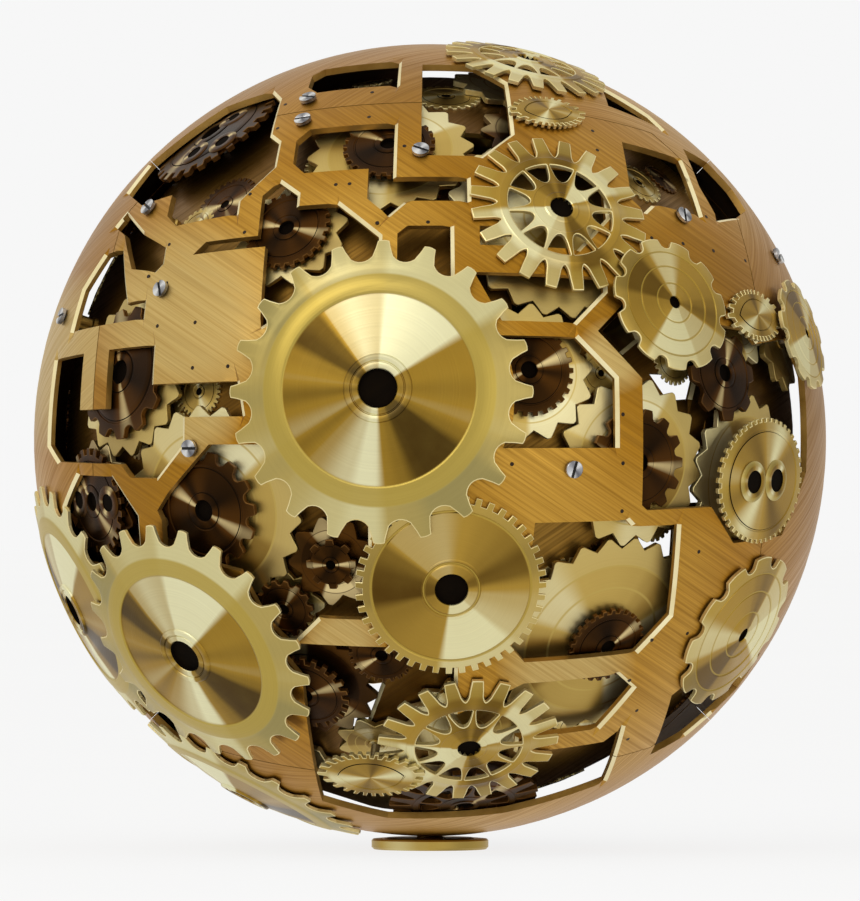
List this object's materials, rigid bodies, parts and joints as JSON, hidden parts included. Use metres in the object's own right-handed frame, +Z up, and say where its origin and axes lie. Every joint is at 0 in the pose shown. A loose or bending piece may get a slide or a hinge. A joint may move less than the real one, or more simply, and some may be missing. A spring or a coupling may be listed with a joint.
{
  "type": "clockwork globe gear train",
  "caption": "Free-standing hollow brass globe of domed toothed wheels on radial arbors, pierced bridge plates, slotted screws, two inner mainplates and a small flat foot.",
  "frame": {"origin": "centre of the flat underside of the foot", "axes": "+Z up through the globe centre, -Y the front of the globe, +X to the right of a viewer who faces the front"},
  "size_m": [0.2031, 0.2096, 0.2074],
  "materials": {
    "wheel_brass": "turned and brushed",
    "plate_brass": "straight-grained satin with polished edges",
    "mainplate_brass": "matte",
    "dark_bronze": "dark patinated, turned",
    "screw_steel": "polished"
  },
  "bodies": {
    "frame": {"plate_front": "plate_brass", "plate_back": "plate_brass", "plate_left": "plate_brass", "plate_right": "plate_brass", "plate_top": "plate_brass", "plate_bottom": "plate_brass", "mainplate_front": "mainplate_brass", "mainplate_back": "mainplate_brass", "screw_1": "screw_steel", "screw_2": "screw_steel", "screw_3": "screw_steel", "screw_4": "screw_steel", "screw_5": "screw_steel", "screw_6": "screw_steel", "screw_7": "screw_steel", "screw_8": "screw_steel", "screw_10": "screw_steel", "screw_11": "screw_steel", "screw_12": "screw_steel", "screw_14": "screw_steel", "foot": "plate_brass"},
    "great_wheel_1": {"great_wheel_1": "wheel_brass"},
    "great_wheel_2": {"great_wheel_2": "wheel_brass"},
    "great_wheel_3": {"great_wheel_3": "wheel_brass"},
    "great_wheel_4": {"great_wheel_4": "wheel_brass"},
    "fine_tooth_wheel": {"fine_tooth_wheel": "wheel_brass"},
    "paddle_wheel_1": {"paddle_wheel_1": "wheel_brass"},
    "paddle_wheel_2": {"paddle_wheel_2": "wheel_brass"},
    "paddle_wheel_4": {"paddle_wheel_4": "wheel_brass"},
    "paddle_wheel_3": {"paddle_wheel_3": "dark_bronze"},
    "cog_wheel_1": {"cog_wheel_1": "wheel_brass"},
    "cog_wheel_2": {"cog_wheel_2": "wheel_brass"},
    "twin_eye_wheel": {"twin_eye_wheel": "wheel_brass"},
    "lens_cam_1": {"lens_cam_1": "wheel_brass"},
    "lens_cam_2": {"lens_cam_2": "wheel_brass"},
    "lens_cam_3": {"lens_cam_3": "wheel_brass"},
    "cog_wheel_3": {"cog_wheel_3": "wheel_brass"},
    "inner_wheel_1": {"inner_wheel_1": "dark_bronze"},
    "inner_wheel_2": {"inner_wheel_2": "dark_bronze"},
    "inner_wheel_3": {"inner_wheel_3": "dark_bronze"},
    "inner_wheel_4": {"inner_wheel_4": "dark_bronze"},
    "inner_wheel_5": {"inner_wheel_5": "dark_bronze"},
    "inner_wheel_6": {"inner_wheel_6": "dark_bronze"},
    "inner_wheel_7": {"inner_wheel_7": "dark_bronze"},
    "inner_wheel_8": {"inner_wheel_8": "dark_bronze"},
    "inner_wheel_9": {"inner_wheel_9": "dark_bronze"},
    "inner_wheel_10": {"inner_wheel_10": "dark_bronze"},
    "inner_wheel_11": {"inner_wheel_11": "dark_bronze"},
    "inner_wheel_12": {"inner_wheel_12": "dark_bronze"},
    "inner_wheel_13": {"inner_wheel_13": "dark_bronze"},
    "inner_wheel_14": {"inner_wheel_14": "dark_bronze"},
    "great_wheel_5": {"great_wheel_5": "wheel_brass"},
    "great_wheel_6": {"great_wheel_6": "wheel_brass"},
    "paddle_wheel_5": {"paddle_wheel_5": "wheel_brass"}
  },
  "joints": [
    {"name": "great_wheel_1_spin", "type": "hinge", "parent": "frame", "child": "great_wheel_1", "pos_m": [-0.01295, -0.1028, 0.11777], "axis": [-0.124, -0.9847, 0.1224], "continuous": true},
    {"name": "great_wheel_2_spin", "type": "hinge", "parent": "frame", "child": "great_wheel_2", "pos_m": [-0.0613, -0.06499, 0.05097], "axis": [-0.5871, -0.6225, -0.5175], "continuous": true},
    {"name": "great_wheel_3_spin", "type": "hinge", "parent": "frame", "child": "great_wheel_3", "pos_m": [-0.09046, -0.02243, 0.06186], "axis": [-0.8808, -0.2184, -0.4201], "continuous": true},
    {"name": "great_wheel_4_spin", "type": "hinge", "parent": "frame", "child": "great_wheel_4", "pos_m": [-0.04719, -0.00935, 0.01426], "axis": [-0.4595, -0.091, -0.8835], "continuous": true},
    {"name": "fine_tooth_wheel_spin", "type": "hinge", "parent": "frame", "child": "fine_tooth_wheel", "pos_m": [0.00532, -0.09564, 0.06795], "axis": [0.0518, -0.9312, -0.3608], "continuous": true},
    {"name": "paddle_wheel_1_spin", "type": "hinge", "parent": "frame", "child": "paddle_wheel_1", "pos_m": [0.03278, -0.07824, 0.16288], "axis": [0.3192, -0.7619, 0.5636], "continuous": true},
    {"name": "paddle_wheel_2_spin", "type": "hinge", "parent": "frame", "child": "paddle_wheel_2", "pos_m": [0.00978, -0.06714, 0.0279], "axis": [0.0952, -0.6537, -0.7507], "continuous": true},
    {"name": "paddle_wheel_4_spin", "type": "hinge", "parent": "frame", "child": "paddle_wheel_4", "pos_m": [0.02486, -0.02362, 0.20181], "axis": [0.2421, -0.2299, 0.9426], "continuous": true},
    {"name": "paddle_wheel_3_spin", "type": "hinge", "parent": "frame", "child": "paddle_wheel_3", "pos_m": [0.00863, -0.03433, 0.01281], "axis": [0.0874, -0.3476, -0.9336], "continuous": true},
    {"name": "cog_wheel_1_spin", "type": "hinge", "parent": "frame", "child": "cog_wheel_1", "pos_m": [0.06086, -0.07762, 0.13921], "axis": [0.583, -0.7435, 0.3277], "continuous": true},
    {"name": "cog_wheel_2_spin", "type": "hinge", "parent": "frame", "child": "cog_wheel_2", "pos_m": [0.07881, -0.04389, 0.05591], "axis": [0.7674, -0.4274, -0.478], "continuous": true},
    {"name": "twin_eye_wheel_spin", "type": "hinge", "parent": "frame", "child": "twin_eye_wheel", "pos_m": [0.08434, -0.05768, 0.09465], "axis": [0.8212, -0.5616, -0.1008], "continuous": true},
    {"name": "lens_cam_1_spin", "type": "hinge", "parent": "frame", "child": "lens_cam_1", "pos_m": [0.02972, -0.05306, 0.18776], "axis": [0.2894, -0.5166, 0.8058], "continuous": true},
    {"name": "lens_cam_2_spin", "type": "hinge", "parent": "frame", "child": "lens_cam_2", "pos_m": [0.08214, -0.05306, 0.13638], "axis": [0.7998, -0.5166, 0.3056], "continuous": true},
    {"name": "lens_cam_3_spin", "type": "hinge", "parent": "frame", "child": "lens_cam_3", "pos_m": [-0.0149, -0.05963, 0.02061], "axis": [-0.1427, -0.5712, -0.8083], "continuous": true},
    {"name": "cog_wheel_3_spin", "type": "hinge", "parent": "frame", "child": "cog_wheel_3", "pos_m": [0.09516, -0.03338, 0.13201], "axis": [0.9115, -0.3197, 0.2587], "continuous": true},
    {"name": "inner_wheel_1_spin", "type": "hinge", "parent": "frame", "child": "inner_wheel_1", "pos_m": [-0.0357, -0.07548, 0.15772], "axis": [-0.3615, -0.7644, 0.5339], "continuous": true},
    {"name": "inner_wheel_2_spin", "type": "hinge", "parent": "frame", "child": "inner_wheel_2", "pos_m": [-0.05621, -0.07926, 0.08738], "axis": [-0.5692, -0.8026, -0.1784], "continuous": true},
    {"name": "inner_wheel_3_spin", "type": "hinge", "parent": "frame", "child": "inner_wheel_3", "pos_m": [-0.08482, -0.04815, 0.08956], "axis": [-0.8589, -0.4876, -0.1563], "continuous": true},
    {"name": "inner_wheel_4_spin", "type": "hinge", "parent": "frame", "child": "inner_wheel_4", "pos_m": [-0.07763, -0.05861, 0.12203], "axis": [-0.7861, -0.5935, 0.1725], "continuous": true},
    {"name": "inner_wheel_5_spin", "type": "hinge", "parent": "frame", "child": "inner_wheel_5", "pos_m": [-0.05512, -0.02513, 0.18299], "axis": [-0.5581, -0.2544, 0.7898], "continuous": true},
    {"name": "inner_wheel_6_spin", "type": "hinge", "parent": "frame", "child": "inner_wheel_6", "pos_m": [0.07362, -0.06366, 0.12172], "axis": [0.7455, -0.6446, 0.1693], "continuous": true},
    {"name": "inner_wheel_7_spin", "type": "hinge", "parent": "frame", "child": "inner_wheel_7", "pos_m": [0.04428, -0.07165, 0.05345], "axis": [0.4484, -0.7255, -0.522], "continuous": true},
    {"name": "inner_wheel_8_spin", "type": "hinge", "parent": "frame", "child": "inner_wheel_8", "pos_m": [0.0245, -0.09408, 0.12231], "axis": [0.2481, -0.9527, 0.1752], "continuous": true},
    {"name": "inner_wheel_9_spin", "type": "hinge", "parent": "frame", "child": "inner_wheel_9", "pos_m": [-0.02454, -0.09052, 0.07408], "axis": [-0.2485, -0.9166, -0.3131], "continuous": true},
    {"name": "inner_wheel_10_spin", "type": "hinge", "parent": "frame", "child": "inner_wheel_10", "pos_m": [-0.03626, -0.08166, 0.06295], "axis": [-0.3672, -0.827, -0.4258], "continuous": true},
    {"name": "inner_wheel_11_spin", "type": "hinge", "parent": "frame", "child": "inner_wheel_11", "pos_m": [-0.01201, -0.08218, 0.05158], "axis": [-0.1217, -0.8322, -0.541], "continuous": true},
    {"name": "inner_wheel_12_spin", "type": "hinge", "parent": "frame", "child": "inner_wheel_12", "pos_m": [-0.03127, -0.06883, 0.04147], "axis": [-0.3167, -0.697, -0.6434], "continuous": true},
    {"name": "inner_wheel_13_spin", "type": "hinge", "parent": "frame", "child": "inner_wheel_13", "pos_m": [0.05197, -0.08378, 0.09935], "axis": [0.5263, -0.8484, -0.0573], "continuous": true},
    {"name": "inner_wheel_14_spin", "type": "hinge", "parent": "frame", "child": "inner_wheel_14", "pos_m": [-0.0103, -0.0646, 0.17898], "axis": [-0.1043, -0.6542, 0.7491], "continuous": true},
    {"name": "great_wheel_5_spin", "type": "hinge", "parent": "frame", "child": "great_wheel_5", "pos_m": [-0.01295, 0.1028, 0.11777], "axis": [-0.124, 0.9847, 0.1224], "continuous": true},
    {"name": "great_wheel_6_spin", "type": "hinge", "parent": "frame", "child": "great_wheel_6", "pos_m": [-0.06165, 0.06478, 0.05114], "axis": [-0.5905, 0.6205, -0.5159], "continuous": true},
    {"name": "paddle_wheel_5_spin", "type": "hinge", "parent": "frame", "child": "paddle_wheel_5", "pos_m": [0.03281, 0.07807, 0.1631], "axis": [0.3195, 0.7602, 0.5657], "continuous": true}
  ],
  "couplings": [
    {"joint": "great_wheel_2_spin", "follows": "great_wheel_1_spin", "ratio": -1.6742},
    {"joint": "great_wheel_3_spin", "follows": "great_wheel_1_spin", "ratio": -0.89474},
    {"joint": "great_wheel_4_spin", "follows": "great_wheel_1_spin", "ratio": 0.55808},
    {"joint": "fine_tooth_wheel_spin", "follows": "great_wheel_1_spin", "ratio": 1.0625},
    {"joint": "paddle_wheel_1_spin", "follows": "great_wheel_1_spin", "ratio": 0.77273},
    {"joint": "paddle_wheel_2_spin", "follows": "great_wheel_1_spin", "ratio": 1.4167},
    {"joint": "paddle_wheel_4_spin", "follows": "great_wheel_1_spin", "ratio": 0.88312},
    {"joint": "paddle_wheel_3_spin", "follows": "great_wheel_1_spin", "ratio": -1.151},
    {"joint": "cog_wheel_1_spin", "follows": "great_wheel_1_spin", "ratio": -2.4286},
    {"joint": "cog_wheel_2_spin", "follows": "great_wheel_1_spin", "ratio": 1.3077},
    {"joint": "twin_eye_wheel_spin", "follows": "great_wheel_1_spin", "ratio": -1},
    {"joint": "lens_cam_1_spin", "follows": "great_wheel_1_spin", "ratio": -1.0303},
    {"joint": "lens_cam_2_spin", "follows": "great_wheel_1_spin", "ratio": -1.8889},
    {"joint": "lens_cam_3_spin", "follows": "great_wheel_1_spin", "ratio": -2.3021},
    {"joint": "cog_wheel_3_spin", "follows": "great_wheel_1_spin", "ratio": 1.7},
    {"joint": "inner_wheel_1_spin", "follows": "great_wheel_1_spin", "ratio": 1.4167},
    {"joint": "inner_wheel_2_spin", "follows": "great_wheel_1_spin", "ratio": 0.80952},
    {"joint": "inner_wheel_3_spin", "follows": "great_wheel_1_spin", "ratio": 1.4167},
    {"joint": "inner_wheel_4_spin", "follows": "great_wheel_1_spin", "ratio": -1},
    {"joint": "inner_wheel_6_spin", "follows": "great_wheel_1_spin", "ratio": 2.4286},
    {"joint": "inner_wheel_7_spin", "follows": "great_wheel_1_spin", "ratio": -0.73913},
    {"joint": "inner_wheel_8_spin", "follows": "great_wheel_1_spin", "ratio": -1.2143},
    {"joint": "inner_wheel_9_spin", "follows": "great_wheel_1_spin", "ratio": -1.8889},
    {"joint": "inner_wheel_10_spin", "follows": "great_wheel_1_spin", "ratio": -2.631},
    {"joint": "inner_wheel_11_spin", "follows": "great_wheel_1_spin", "ratio": -2.631},
    {"joint": "inner_wheel_12_spin", "follows": "great_wheel_1_spin", "ratio": 1.3155},
    {"joint": "inner_wheel_13_spin", "follows": "great_wheel_1_spin", "ratio": 1},
    {"joint": "inner_wheel_14_spin", "follows": "great_wheel_1_spin", "ratio": -1},
    {"joint": "great_wheel_5_spin", "follows": "paddle_wheel_5_spin", "ratio": -1.5714},
    {"joint": "great_wheel_6_spin", "follows": "great_wheel_1_spin", "ratio": -0.55808}
  ]
}
